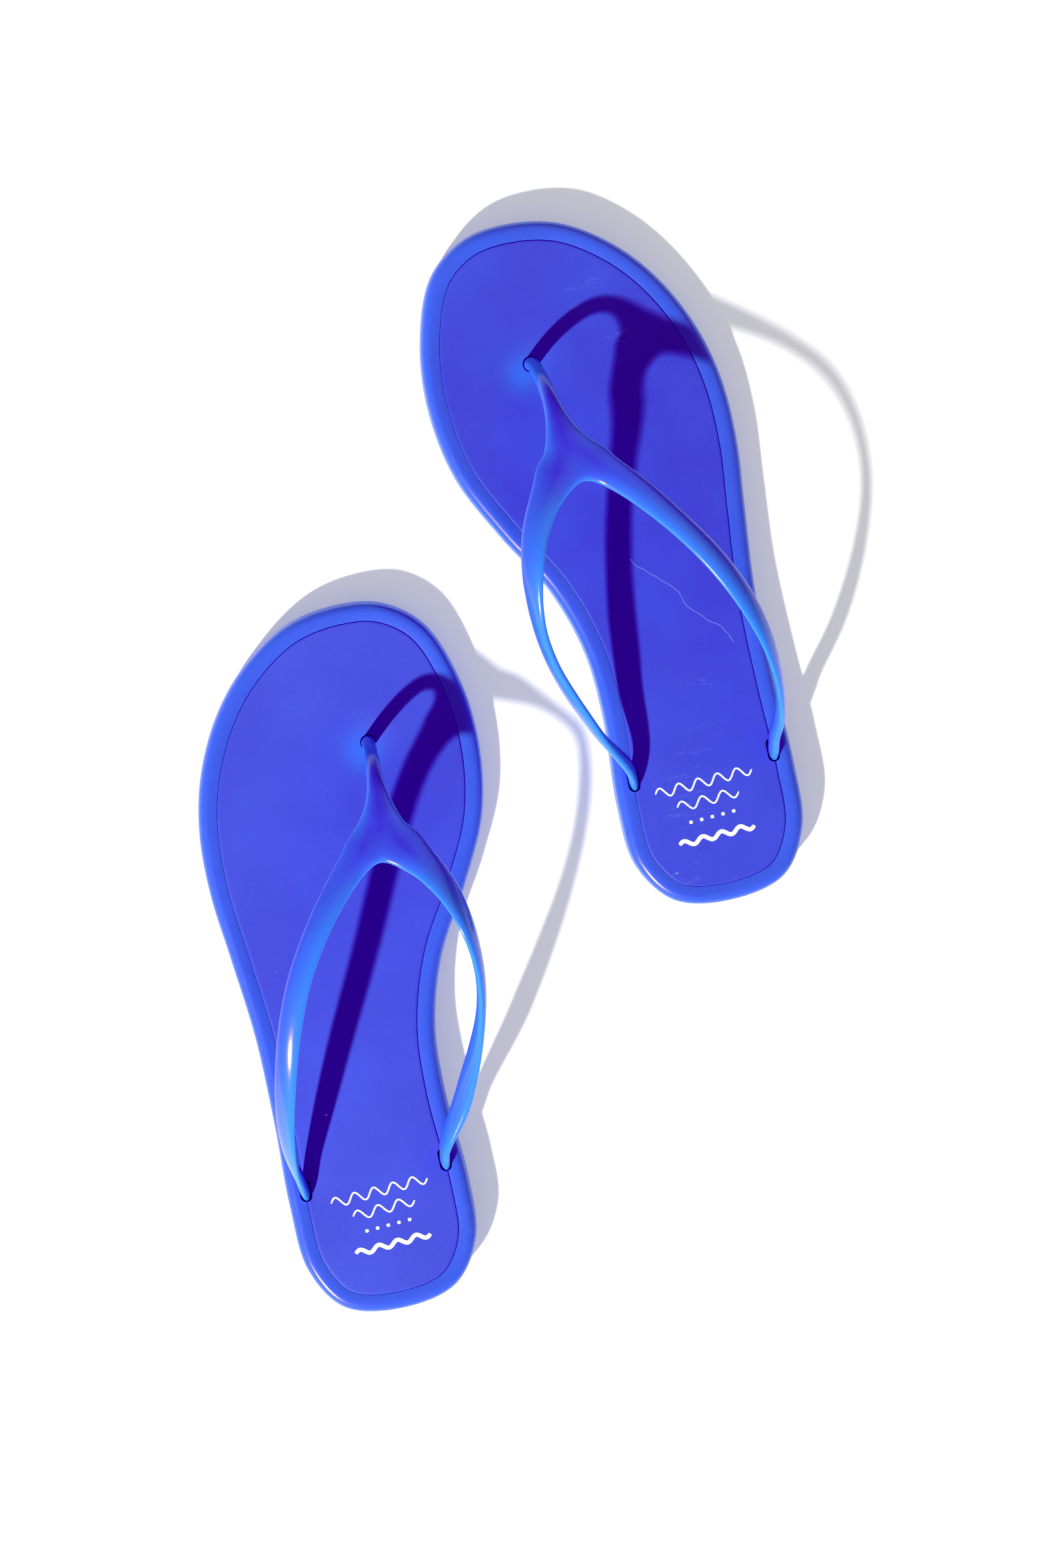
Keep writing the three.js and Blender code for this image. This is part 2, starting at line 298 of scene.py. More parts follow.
def shade(obj, hard_angle):
    obj.data.shade_smooth()
    obj.data.set_sharp_from_angle(angle=math.radians(hard_angle))


def report(obj):
    """Prints the size of a mesh, and how many of its edges don't join exactly two faces."""
    faces = sum(len(p.vertices) - 2 for p in obj.data.polygons)
    shared = [0] * len(obj.data.edges)
    for loop in obj.data.loops:
        shared[loop.edge_index] += 1
    size = [round(d / MM, 1) for d in obj.dimensions]
    lowest = min(v.co.z for v in obj.data.vertices) / MM
    loose = sum(count != 2 for count in shared)
    print(f"{obj.name}: {faces} triangles, {size} mm, from {lowest:.2f} mm, {loose} open edges")


# %% Stacked outline rings, closed by a ladder of faces
def ring_stack(name, foot, rings, columns):
    """A closed body from outline rings, each (inset, height function), bottom to top."""
    points = []
    for inset, height in rings:
        points += [(p.x, p.y, height(p.y)) for p in inset_outline(inset)]
    faces = []
    for ring in range(len(rings) - 1):
        for i in range(RING):
            a = ring * RING + i
            b = ring * RING + (i + 1) % RING
            faces.append((a, a + RING, b + RING, b))

    def cap(ring, height, up):
        """Rungs from each outer point to the inner point that faces it."""
        start = ring * RING
        rungs = []
        for i in range(HALF + 1):
            a = start + i % RING
            b = start + (RING - i) % RING
            rung = [a]
            for c in range(1, columns):
                if a != b:
                    p = Vector(points[a]).lerp(Vector(points[b]), c / columns)
                    points.append((p.x, p.y, height(p.y)))
                    rung.append(len(points) - 1)
                else:
                    rung.append(a)
            rungs.append(rung + [b])
        for first, second in zip(rungs, rungs[1:]):
            for c in range(columns):
                corners = (first[c], first[c + 1], second[c + 1], second[c])
                face = list(dict.fromkeys(corners))
                faces.append(tuple(face) if up else tuple(reversed(face)))

    cap(0, rings[0][1], up=False)
    cap(len(rings) - 1, rings[-1][1], up=True)
    return make_object(name, foot, points, faces)


# %% An upright pin, for holes, recesses and the strap's heads
PIN_STEPS = 14  # steps round each quarter of a pin


def stadium(name, foot, centre, size, low, high, lip=0.0):
    """An upright pin with a rounded plan; lip rounds its two rims."""
    across, along = size
    radius = min(across, along) / 2
    half_flat = across / 2 - radius
    half_side = along / 2 - radius
    corners = [
        (half_flat, half_side), (-half_flat, half_side),
        (-half_flat, -half_side), (half_flat, -half_side),
    ]
    profile = [(0, low), (0, high)]
    if lip:
        turn = [math.radians(a) for a in (0, 30, 60, 90)]
        lower = [(lip * (1 - math.sin(a)), low + lip * (1 - math.cos(a))) for a in turn]
        upper = [(inset, high + low - z) for inset, z in reversed(lower)]
        profile = lower + upper
    points = []
    for inset, z in profile:
        reach = radius - inset
        for k, (corner_x, corner_y) in enumerate(corners):
            for s in range(PIN_STEPS + 1):
                a = math.pi / 2 * (k + s / PIN_STEPS)
                x = centre.x + corner_x + reach * math.cos(a)
                y = centre.y + corner_y + reach * math.sin(a)
                points.append((x, y, z))
    ring = len(corners) * (PIN_STEPS + 1)
    faces = []
    for level in range(len(profile) - 1):
        for i in range(ring):
            a = level * ring + i
            b = level * ring + (i + 1) % ring
            faces.append((a, b, b + ring, a + ring))
    top_start = (len(profile) - 1) * ring
    faces.append(tuple(range(ring - 1, -1, -1)))
    faces.append(tuple(range(top_start, top_start + ring)))
    made = make_object(name, foot, points, faces)
    weld(made)
    return made


# %% [markdown]
# ## The outsole
# The real outsole is one injection-moulded tray: a rounded rim all round, a crease where the
# footbed starts, straight sides with the faint line where the two halves of the mould met,
# and a tread below. It is a stack of outline rings, because every one of its lines follows the
# same outline. The rim's section is a quarter ellipse outside and a gentle fall inside.

# %% Outsole sections
def top(drop):
    return lambda y: footbed_height(y) - drop


def ground(rise):
    return lambda y: ground_height(y) + rise


def middle(share, offset):
    """A height between the ground and the rim's shoulder."""
    return lambda y: ground_height(y) + share * (footbed_height(y) - ground_height(y)) + offset


RIM_STEPS = 8  # rings on each half of the rim


def rim_rings():
    rings = []
    for step in range(RIM_STEPS + 1):
        angle = math.radians(90 * step / RIM_STEPS)
        inset = RIM_WIDTH * RIM_PEAK * (1 - math.cos(angle))
        drop = (RIM_CROWN + RIM_SHOULDER) * (1 - math.sin(angle)) - RIM_CROWN
        rings.append((inset, top(drop)))
    for step in range(1, RIM_STEPS + 1):
        share = step / RIM_STEPS
        inset = RIM_WIDTH * (RIM_PEAK + (1 - RIM_PEAK) * share)
        rings.append((inset, top((RIM_CROWN + RIM_LIP) * share * share - RIM_CROWN)))
    return rings


# %% The outsole's rings, from the underside to the floor of the tray
MOULD_LINE = 0.18  # how far the mould's parting line stands out
MOULD_LINE_HALF = 0.5  # half of the line's width
MOULD_LINE_SHARE = 0.3  # its height, as a share of the side
BOTTOM_STEPS = 4
WALL_TOP = 0.7  # where the tray's inner wall turns straight down


def outsole_rings():
    rings = []
    for step in range(BOTTOM_STEPS + 1):
        angle = math.radians(90 * step / BOTTOM_STEPS)
        inset = BOTTOM_ROUND * (1 - math.sin(angle))
        rings.append((inset, ground(BOTTOM_ROUND * (1 - math.cos(angle)))))
    rings += [
        (0, middle(MOULD_LINE_SHARE, -MOULD_LINE_HALF)),
        (-MOULD_LINE, middle(MOULD_LINE_SHARE, 0)),
        (0, middle(MOULD_LINE_SHARE, MOULD_LINE_HALF)),
    ]
    rings += rim_rings()
    rings += [
        (RIM_WIDTH, top(WALL_TOP)),
        (RIM_WIDTH, top(FOOTBED_THICKNESS + PIECE_GAP)),
    ]
    return rings


print("the outsole is a stack of", len(outsole_rings()), "rings")

# %% Tread
GROOVE_SPACING = 9
GROOVE_WIDTH = 1.8
GROOVE_DEPTH = 0.9
GROOVE_WAVE = 2.2
GROOVE_WAVELENGTH = 18
GROOVE_BORDER = 7
GROOVE_STEPS = 36


def tread_cutter(foot):
    """Shallow wavy grooves across the tread, each a closed bar, all in one mesh."""
    points = []
    faces = []
    count = int((SOLE_LENGTH - 4 * GROOVE_BORDER) / GROOVE_SPACING)
    for k in range(count):
        y = HEEL_Y + 2 * GROOVE_BORDER + k * GROOVE_SPACING
        left = edge_at(-1, y) + GROOVE_BORDER
        right = edge_at(1, y) - GROOVE_BORDER
        start = len(points)
        for s in range(GROOVE_STEPS + 1):
            x = left + (right - left) * s / GROOVE_STEPS
            centre = y + GROOVE_WAVE * math.sin(2 * math.pi * x / GROOVE_WAVELENGTH)
            low = ground_height(centre) - 1
            high = ground_height(centre) + GROOVE_DEPTH
            for side, z in ((-1, low), (1, low), (0.5, high), (-0.5, high)):
                points.append((x, centre + side * GROOVE_WIDTH / 2, z))
        for s in range(GROOVE_STEPS):
            for q in range(4):
                a = start + 4 * s + q
                b = start + 4 * s + (q + 1) % 4
                faces.append((a, b, b + 4, a + 4))
        faces.append((start + 3, start + 2, start + 1, start))
        end = start + 4 * GROOVE_STEPS
        faces.append((end, end + 1, end + 2, end + 3))
    return make_object("tread_cutter", foot, points, faces)


# %% Holes and recesses
HOLE_CENTRE = Vector((0, 0, 0))


def cut_strap_holes(obj, foot):
    """The round toe hole and the two slots, right through."""
    high = HEEL_THICKNESS + STRAP_RISE / 2
    toe = POST_DIAMETER + 2 * HOLE_CLEARANCE
    slot = (STRAP_THICKNESS + 2 * HOLE_CLEARANCE, END_WIDTH + 2 * HOLE_CLEARANCE)
    for centre, size in ((HOLE_CENTRE, (toe, toe)), (inner_anchor, slot), (outer_anchor, slot)):
        boolean(obj, stadium("hole", foot, centre, size, CUT_FROM, high), "DIFFERENCE")


def cut_recesses(obj, foot):
    """The pockets under the sole that hold the strap's three heads."""
    toe = TOE_HEAD_DIAMETER + 2 * HEAD_CLEARANCE
    heel = tuple(side + 2 * HEAD_CLEARANCE for side in HEEL_HEAD)
    for centre, size in ((HOLE_CENTRE, (toe, toe)), (inner_anchor, heel), (outer_anchor, heel)):
        pin = stadium("recess", foot, centre, size, CUT_FROM, HEAD_TOP + PIECE_GAP)
        boolean(obj, pin, "DIFFERENCE")


# %% Build the outsoles
TRAY_RUNGS = 24
HARD_EDGE = 38  # degrees; a sharper edge than this stays crisp


def build_outsole(foot):
    made = ring_stack(f"{foot.side}_sole_tray", foot, outsole_rings(), columns=TRAY_RUNGS)
    boolean(made, tread_cutter(foot), "DIFFERENCE")
    cut_recesses(made, foot)
    cut_strap_holes(made, foot)
    shade(made, HARD_EDGE)
    report(made)
    return made


outsoles = {foot.side: build_outsole(foot) for foot in feet}


# %% [markdown]
# ## The footbed
# On the real sandal the footbed is a thin sheet pressed into the tray. Its edge is a little
# round where it was trimmed, and it dips where the toe post pulls it down and beside each rear
# slot. The same ladder of faces serves, with finer rungs so that the dips can be modelled
# by moving points and don't have to be faked with a bump.

# %% How the footbed dips
TOE_DIP = 0.9
TOE_DIP_RADIUS = 7.5
SLOT_DIP = 0.35
SLOT_DIP_RADIUS = 8


def dip(x, y):
    """How far the footbed sinks at a point, from the pull of the strap."""
    pulls = [(HOLE_CENTRE, TOE_DIP, TOE_DIP_RADIUS)]
    pulls += [(anchor, SLOT_DIP, SLOT_DIP_RADIUS) for anchor in (inner_anchor, outer_anchor)]
    total = 0
    for centre, depth, radius in pulls:
        away = math.hypot(x - centre.x, y - centre.y) / radius
        total += depth * math.exp(-away * away)
    return total


# %% Build the footbeds
ROLL_STEPS = 5
ROLL_SUPPORT = 0.8  # how far below the roll one more ring holds the edge straight
SHEET_RUNGS = 60


def footbed_rings():
    inner = RIM_WIDTH + CREASE
    rings = [(inner, top(FOOTBED_THICKNESS)), (inner, top(FOOTBED_ROLL + ROLL_SUPPORT))]
    for step in range(ROLL_STEPS + 1):
        angle = math.radians(90 * step / ROLL_STEPS)
        inset = inner + FOOTBED_ROLL * (1 - math.cos(angle))
        rings.append((inset, top(FOOTBED_ROLL * (1 - math.sin(angle)))))
    rings.append((inner + FOOTBED_ROLL + 1, top(0)))
    return rings


def build_footbed(foot):
    made = ring_stack(f"{foot.side}_footbed_sheet", foot, footbed_rings(), columns=SHEET_RUNGS)
    for vertex in made.data.vertices:
        x = (vertex.co.x - foot.origin.x) / MM * foot.mirror
        y = (vertex.co.y - foot.origin.y) / MM
        if vertex.co.z / MM > footbed_height(y) - 0.5 * FOOTBED_THICKNESS:
            vertex.co.z -= dip(x, y) * MM
    cut_strap_holes(made, foot)
    shade(made, HARD_EDGE)
    report(made)
    return made


footbeds = {foot.side: build_footbed(foot) for foot in feet}


# %% [markdown]
# ## The strap
# The strap is one soft moulding: a round post, a web that widens and parts into two arms, and
# a head on each of its three ends. A coarse cage with a subdivision surface gives the flowing
# fork that a union of separate tubes can't. The band has twelve points round it and each arm
# has eight. Where the band parts, one extra point is put in the fork on its mid-plane, and
# both arms share it, so the cage stays closed and all its faces have four corners.

# %% Sections of the strap
# Shares of the half width and half thickness, in ring order, seen from behind.
ARM_SECTION = [
    (-0.78, 0.78), (0, 1.08), (0.78, 0.78), (1.09, 0),
    (0.78, -0.78), (0, -1.08), (-0.78, -0.78), (-1.09, 0),
]
BAND_SECTION = [
    (-0.86, 0.66), (-0.46, 0.96), (0, 1.04), (0.46, 0.96), (0.86, 0.66), (1.06, 0),
    (0.86, -0.66), (0.46, -0.96), (0, -1.04), (-0.46, -0.96), (-0.86, -0.66), (-1.06, 0),
]
ROUND_REACH = 1.047  # a twelve-sided cage has to be this much larger than the round it gives
ROUND_ANGLES = [math.radians(150 - 30 * k) for k in range(12)]
ROUND_SECTION = [(ROUND_REACH * math.cos(a), ROUND_REACH * math.sin(a)) for a in ROUND_ANGLES]


def ring_points(centre, tangent, edge, wide, thick, section):
    """A section placed square to the strap's run; edge points along its width."""
    edge = (edge - tangent * edge.dot(tangent)).normalized()
    face = tangent.cross(edge)
    return [centre + edge * (u * wide / 2) + face * (v * thick / 2) for u, v in section]


def tangents(path):
    last = len(path) - 1
    return [(path[min(i + 1, last)] - path[max(i - 1, 0)]).normalized() for i in range(last + 1)]


def at(back, across, rise):
    """A place by its share of the run from toe hole to slots, of the width and of the rise."""
    y = -back * STRAP_RUN
    return Vector((across * SOLE_WIDTH, y, footbed_height(y) + rise * STRAP_RISE))


# %% Stations of the band and of the fork
STEPS = 3  # rings from one station to the next
HEAD_JOIN = 1.4  # how far each end of the strap reaches down into its head
# Place, width, thickness and how round the section is.
BAND_STATIONS = [
    (Vector((0, 0, HEAD_TOP - HEAD_JOIN)), 5, 5, 1),
    (Vector((0, 0, footbed_height(0))), 5, 5, 1),
    (at(0.002, 0.003, 0.18), 5, 5, 1),
    (at(0.019, 0.011, 0.38), 5, 4.9, 0.9),
    (at(0.047, 0.02, 0.54), 5.2, 4.5, 0.6),
    (at(0.082, 0.028, 0.645), 5.8, 4.1, 0.3),
    (at(0.115, 0.033, 0.71), 7.4, 3.7, 0.1),
    (at(0.144, 0.038, 0.75), 10, 3.5, 0),
    (at(0.169, 0.043, 0.78), 13.4, 3.3, 0),
    (at(0.192, 0.048, 0.8), 17.6, 3.2, 0),
]
# The fork: left edge, left middle, fork, right middle and right edge of the last shared ring.
FORK = [
    at(0.224, -0.061, 0.83),
    at(0.243, 0.002, 0.85),
    at(0.262, 0.072, 0.855),
    at(0.239, 0.126, 0.85),
    at(0.214, 0.164, 0.83),
]

# %% Stations of the two arms
# Place, width, direction of the width on the right strap and on the left one, which twists
# a little differently. The inner arm's width points up and towards the fork's side.
INNER_ARM = [
    (at(0.276, -0.036, 0.875), 13, (1, -0.12, 0.02), (1, -0.12, 0.02)),
    (at(0.31, -0.072, 0.905), 11, (1, 0, 0.1), (1, 0, 0.15)),
    (at(0.369, -0.118, 0.955), 10, (1, 0, 0.3), (0.9, 0, 0.5)),
    (at(0.439, -0.15, 1), 9.2, (0.85, 0, 0.6), (0.6, 0, 0.8)),
    (at(0.519, -0.166, 0.93), 8.8, (0.5, 0, 0.85), (0.3, 0, 0.95)),
    (at(0.597, -0.165, 0.82), 8.6, (0.3, 0, 1), (0.1, 0, 1)),
    (at(0.676, -0.145, 0.69), 8.6, (0.25, -0.1, 1), (-0.1, -0.1, 1)),
    (at(0.753, -0.11, 0.55), 8.5, (0.4, -0.25, 0.9), (-0.4, -0.25, 0.9)),
    (at(0.818, -0.072, 0.43), 8.4, (0.4, -0.4, 0.85), (-0.6, -0.3, 0.75)),
    (at(0.876, -0.035, 0.315), 8.3, (0.3, -0.55, 0.8), (-0.6, -0.5, 0.6)),
]
# The outer arm's width points from its upper to its lower edge, away from the fork.
OUTER_ARM = [
    (at(0.264, 0.163, 0.86), 11, (1, 0.55, -0.02), (1, 0.55, -0.02)),
    (at(0.313, 0.234, 0.9), 9.8, (1, 0.4, -0.08), (1, 0.4, -0.08)),
    (at(0.397, 0.333, 0.965), 9, (1, 0.2, -0.25), (1, 0.2, -0.2)),
    (at(0.499, 0.433, 1), 8.8, (1, 0.1, -0.4), (1, 0.1, -0.3)),
    (at(0.606, 0.511, 0.95), 8.8, (0.8, 0.1, -0.6), (1, 0.1, -0.4)),
    (at(0.718, 0.563, 0.82), 8.7, (0.5, 0.3, -0.8), (0.8, 0.2, -0.5)),
    (at(0.822, 0.58, 0.6), 8.6, (0.2, 0.5, -0.8), (0.6, 0.4, -0.6)),
    (at(0.908, 0.568, 0.36), 8.3, (0, 0.7, -0.7), (0.3, 0.6, -0.6)),
]


def slot_stations(anchor, lean, turn):
    """An arm's last stations, down into its slot and on to its head."""
    mouth = footbed_height(ANCHOR_Y) + RIM_CROWN
    places = [
        (1.1 * lean, 0.78 * END_WIDTH, mouth + 0.88 * END_WIDTH, (0, -0.8, 0.5)),
        (0.2 * lean, 0.16 * END_WIDTH, mouth + 0.32 * END_WIDTH, (0, -1, 0.25)),
        (0, 0, mouth - 0.5, (0, -1, 0)),
        (0, 0, (mouth + HEAD_TOP) / 2, (0, -1, 0)),
        (0, 0, HEAD_TOP - HEAD_JOIN, (0, -1, 0)),
    ]
    stations = []
    for aside, forward, height, way in places:
        edge = tuple(turn * part for part in way)
        place = Vector((anchor.x + aside, anchor.y + forward, height))
        stations.append((place, END_WIDTH, edge, edge))
    return stations


arm_counts = [len(INNER_ARM), len(OUTER_ARM)]
print(f"stations: {len(BAND_STATIONS)} on the band, {arm_counts} on the arms")

# %% [markdown]
# ## Painted glow on the strap
# The edges of the strap are given a lighter, greener colour, a painted glow that stands in for
# light coming through them, and most on each arm's edge beside the fork. The slope of the surface
# can't tell one edge from the other, so a value from 0 to 1 is painted on every point of the cage,
# and the subdivision blends it over the finer surface.

# %% Painted glow on the strap
# How strong the painted glow is, in ring order.
BAND_GLOW = [0.3, 0.05, 0, 0.05, 0.3, 0.5, 0.3, 0.05, 0, 0.05, 0.3, 0.5]
SPLIT_GLOW = [0.15, 0, 0.15, 0, 0.15, 0.3, 0.15, 0, 0.15, 0, 0.15, 0.3]
INNER_GLOW = [0.25, 0.4, 0.75, 0.95, 0.7, 0.4, 0.25, 0.25]
OUTER_GLOW = [0.75, 0.4, 0.15, 0.1, 0, 0.15, 0.65, 0.95]
POST_GLOW = 0.45
GLOW_RAMP = 8  # rings over which the web's values change to the arm's
CROTCH_GLOW = 1


# %% Rings along the band and the arms
TWIST_COLUMN = {"right": 2, "left": 3}


def arm_rings(stations, twist):
    """Rings along an arm; twist is the column that holds this strap's directions."""
    path = curve_points([s[0] for s in stations], STEPS)
    edges = curve_points([Vector(s[twist]).normalized() for s in stations], STEPS)
    ways = tangents(path)
    rings = []
    for i, centre in enumerate(path):
        span, step = divmod(i, STEPS)
        after = stations[min(span + 1, len(stations) - 1)]
        wide = stations[span][1] + (after[1] - stations[span][1]) * step / STEPS
        rings.append(ring_points(centre, ways[i], edges[i], wide, STRAP_THICKNESS, ARM_SECTION))
    return rings


def band_rings(stations):
    path = curve_points([s[0] for s in stations], STEPS)
    ways = tangents(path)
    rings = []
    for i, centre in enumerate(path):
        span, step = divmod(i, STEPS)
        here = stations[span]
        after = stations[min(span + 1, len(stations) - 1)]
        share = step / STEPS
        wide, thick, roundness = (here[k] + (after[k] - here[k]) * share for k in (1, 2, 3))
        section = [
            (a[0] * roundness + b[0] * (1 - roundness), a[1] * roundness + b[1] * (1 - roundness))
            for a, b in zip(ROUND_SECTION, BAND_SECTION)
        ]
        rings.append(ring_points(centre, ways[i], Vector((1, 0, 0)), wide, thick, section))
    return rings


# %% How a strap has settled
def settled(foot, place):
    """A place on the strap, moved by a share of the settling that grows with its height."""
    outwards, ahead = STRAP_SETTLE[foot.side]
    share = max(0, min(1, (place.z - footbed_height(place.y)) / STRAP_RISE))
    rise = share * share * (3 - 2 * share)
    return place + Vector((outwards * rise, ahead * rise, 0))


def tucked(foot, place):
    """A place on the outer arm, moved in where the arm hangs free between web and slot."""
    share = max(0, min(1, (-place.y / STRAP_RUN - TUCK_FROM) / (1 - TUCK_FROM)))
    return place - Vector((OUTER_TUCK[foot.side] * math.sin(math.pi * share) ** 2, 0, 0))


# %% The strap's cage
FORK_ROUND = 0.66  # the height of the fork's outer corners, as a share of half the thickness
FORK_LEFT_EDGE = Vector((-1.2, 0.3, 0))
FORK_RIGHT_EDGE = Vector((1.2, 0.7, 0))
CROTCH_STEP = Vector((0, -1.2, 0))  # from the fork's middle to the point that both arms share


def fork_ring(foot):
    """The last ring of the band, where the two arms start."""
    left, left_mid, fork, right_mid, right = (settled(foot, place) for place in FORK)
    up = Vector((0, 0, STRAP_THICKNESS / 2))
    corner = up * FORK_ROUND
    upper = [left + corner, left_mid + up, fork + up, right_mid + up, right + corner]
    lower = [right - corner, right_mid - up, fork - up, left_mid - up, left - corner]
    return upper + [right + FORK_RIGHT_EDGE] + lower + [left + FORK_LEFT_EDGE]


def strap_cage(foot):
    def settle(stations):
        return [(settled(foot, station[0]), *station[1:]) for station in stations]

    band = band_rings(settle(BAND_STATIONS))
    points = []
    faces = []
    painted_glow_values = []

    def add_ring(ring, painted_glow):
        start = len(points)
        points.extend(ring)
        painted_glow_values.extend(painted_glow)
        return list(range(start, start + len(ring)))

    def join_rings(a, b):
        for k in range(len(a)):
            n = (k + 1) % len(a)
            faces.append((a[k], b[k], b[n], a[n]))

    post_rings = STEPS * sum(station[3] == 1 for station in BAND_STATIONS)
    rings = []
    for i, ring in enumerate(band):
        # how far a ring still takes the post's painted glow instead of the band's
        post_share = max(0, 1 - max(0, i - post_rings) / (2 * STEPS))
        rings.append(add_ring(ring, [t + (POST_GLOW - t) * post_share for t in BAND_GLOW]))
    rings.append(add_ring(fork_ring(foot), SPLIT_GLOW))
    faces.append(tuple(rings[0]))
    for a, b in zip(rings, rings[1:]):
        join_rings(a, b)
    shared = rings[-1]
    fork = settled(foot, FORK[2])
    crotch = add_ring([fork + CROTCH_STEP], [CROTCH_GLOW])[0]
    inner_start = shared[0:3] + [crotch] + shared[8:12]
    outer_start = shared[2:9] + [crotch]
    inner = settle(INNER_ARM + slot_stations(inner_anchor, -1, 1))
    outer = settle(OUTER_ARM + slot_stations(outer_anchor, 1, -1))
    outer = [(tucked(foot, station[0]), *station[1:]) for station in outer]
    twist = TWIST_COLUMN[foot.side]
    for previous, stations, painted_glow in (
        (inner_start, inner, INNER_GLOW),
        (outer_start, outer, OUTER_GLOW),
    ):
        near = [painted_glow_values[point] for point in previous]
        for i, ring in enumerate(arm_rings(stations, twist)):
            share = min(1, (i + 1) / GLOW_RAMP)
            current = add_ring(ring, [a + (b - a) * share for a, b in zip(near, painted_glow)])
            join_rings(previous, current)
            previous = current
        faces.append(tuple(reversed(previous)))
    made = make_object(f"{foot.side}_strap_moulding", foot, points, faces)
    # The painted glow values are stored on the mesh, where the material reads them.
    layer = made.data.attributes.new("painted_glow", "FLOAT", "POINT")
    layer.data.foreach_set("value", painted_glow_values)
    return made


# %% Build the straps
STRAP_SMOOTHING = 2
HEAD_LIP = 0.6
STRAP_HARD_EDGE = 50


def build_strap(foot):
    made = strap_cage(foot)
    smooth = made.modifiers.new("smooth", "SUBSURF")
    smooth.levels = STRAP_SMOOTHING
    smooth.render_levels = STRAP_SMOOTHING
    apply_modifiers(made)
    toe = (TOE_HEAD_DIAMETER, TOE_HEAD_DIAMETER)
    for centre, size in ((HOLE_CENTRE, toe), (inner_anchor, HEEL_HEAD), (outer_anchor, HEEL_HEAD)):
        head = stadium("head", foot, centre, size, HEAD_SINK, HEAD_TOP, lip=HEAD_LIP)
        boolean(made, head, "UNION")
    shade(made, STRAP_HARD_EDGE)
    report(made)
    return made


straps = {foot.side: build_strap(foot) for foot in feet}


# %% [markdown]
# ## The heel print
# Such sandals carry a small white print at the heel, screen-printed in ink that stands a hair
# above the footbed. Here it is a made-up seaside motif: two thin waves, a row of dots and a
# bold wave. Each stroke is a thin closed ribbon of ink that follows the footbed, so it has an
# edge of its own and needs no image.

# %% One stroke of ink
PRINT_CENTRE = Vector((0.283 * SOLE_WIDTH, HEEL_Y + 0.132 * SOLE_LENGTH, 0))
PRINT_TURN = math.radians(2.5)
INK_LIFT = 0.02
INK_THICKNESS = 0.07
STROKE_END = 0.75  # width of a stroke's end, as a share of its width


def ink(points, faces, line, width):
    """Adds one closed ribbon of ink along a line of (x, y) about the print's centre."""
    start = len(points)
    path = [Vector((x, y, 0)) for x, y in line]
    for i, p in enumerate(path):
        along = (path[min(i + 1, len(path) - 1)] - path[max(i - 1, 0)]).normalized()
        aside = Vector((-along.y, along.x, 0)) * width / 2
        fade = STROKE_END if i in (0, len(path) - 1) else 1
        for q in (p + aside * fade, p - aside * fade):
            turned = Matrix.Rotation(PRINT_TURN, 3, "Z") @ q + PRINT_CENTRE
            surface = footbed_height(turned.y) - dip(turned.x, turned.y)
            points.append((turned.x, turned.y, surface + INK_LIFT))
            points.append((turned.x, turned.y, surface + INK_LIFT + INK_THICKNESS))
    for i in range(len(path) - 1):
        a = start + 4 * i
        for corners in ((1, 3, 7, 5), (0, 4, 6, 2), (0, 1, 5, 4), (2, 6, 7, 3)):
            faces.append(tuple(a + corner for corner in corners))
    end = start + 4 * (len(path) - 1)
    faces += [(start, start + 2, start + 3, start + 1), (end, end + 1, end + 3, end + 2)]


# %% The motif
FINE_STROKE = 0.62
DOT_STROKE = 1.2
BOLD_STROKE = 1.5
DOT_SPACING = 4
DOT_LINE = (-0.6, -0.25, 0.25, 0.6)
WAVE_STEPS = 12


def wave(length, height, crests, y):
    steps = WAVE_STEPS * crests
    line = []
    for s in range(steps + 1):
        x = -length / 2 + length * s / steps
        line.append((x, y + height * math.sin(2 * math.pi * crests * s / steps)))
    return line


def build_print(foot):
    points = []
    faces = []
    ink(points, faces, wave(length=36, height=1.8, crests=5, y=10.8), FINE_STROKE)
    ink(points, faces, wave(length=23, height=1.8, crests=3, y=4.2), FINE_STROKE)
    for k in range(-2, 3):
        dot = [(k * DOT_SPACING + x, -2.2) for x in DOT_LINE]
        ink(points, faces, dot, DOT_STROKE)
    ink(points, faces, wave(length=28, height=1, crests=4, y=-9.2), BOLD_STROKE)
    made = make_object(f"{foot.side}_heel_print", foot, points, faces)
    if foot.mirror < 0:
        unmirror_print(made, foot)
    report(made)
    return made


def unmirror_print(obj, foot):
    """The print reads the same way on both feet."""
    centre = foot.world(PRINT_CENTRE)
    for vertex in obj.data.vertices:
        vertex.co.x = 2 * centre.x - vertex.co.x
    obj.data.flip_normals()


prints = {foot.side: build_print(foot) for foot in feet}


# %% [markdown]
# ## Surface effects
# All the blue pieces are the same soft, slightly clouded plastic, so they share three effects.
# Cloudiness shifts the colour a little in soft patches, and the same group mixes in the painted
# glow, a lighter, greener colour that stands in for light on edges. Grain is the fine pebble of
# the mould, a bump and a slight change of gloss. Wear is dust specks and fine scratches. Each is a
# node group with named inputs, built once and placed in each material with its own values. One
# long hairline that crosses the right footbed is a small group of its own.

# %% Node group helpers
def new_group(name, inputs, outputs):
    group = bpy.data.node_groups.new(name, "ShaderNodeTree")
    for label, kind, value in inputs:
        socket = group.interface.new_socket(label, in_out="INPUT", socket_type=kind)
        socket.default_value = value
    for label, kind in outputs:
        group.interface.new_socket(label, in_out="OUTPUT", socket_type=kind)
    nodes = group.nodes
    return group, nodes.new("NodeGroupInput"), nodes.new("NodeGroupOutput")


def add_node(tree, kind, **settings):
    node = tree.nodes.new(kind)
    for name, value in settings.items():
        setattr(node, name, value)
    return node


def math_node(tree, operation, *values):
    node = add_node(tree, "ShaderNodeMath", operation=operation)
    for socket, value in zip(node.inputs, values):
        if isinstance(value, bpy.types.NodeSocket):
            tree.links.new(value, socket)
        else:
            socket.default_value = value
    return node.outputs[0]


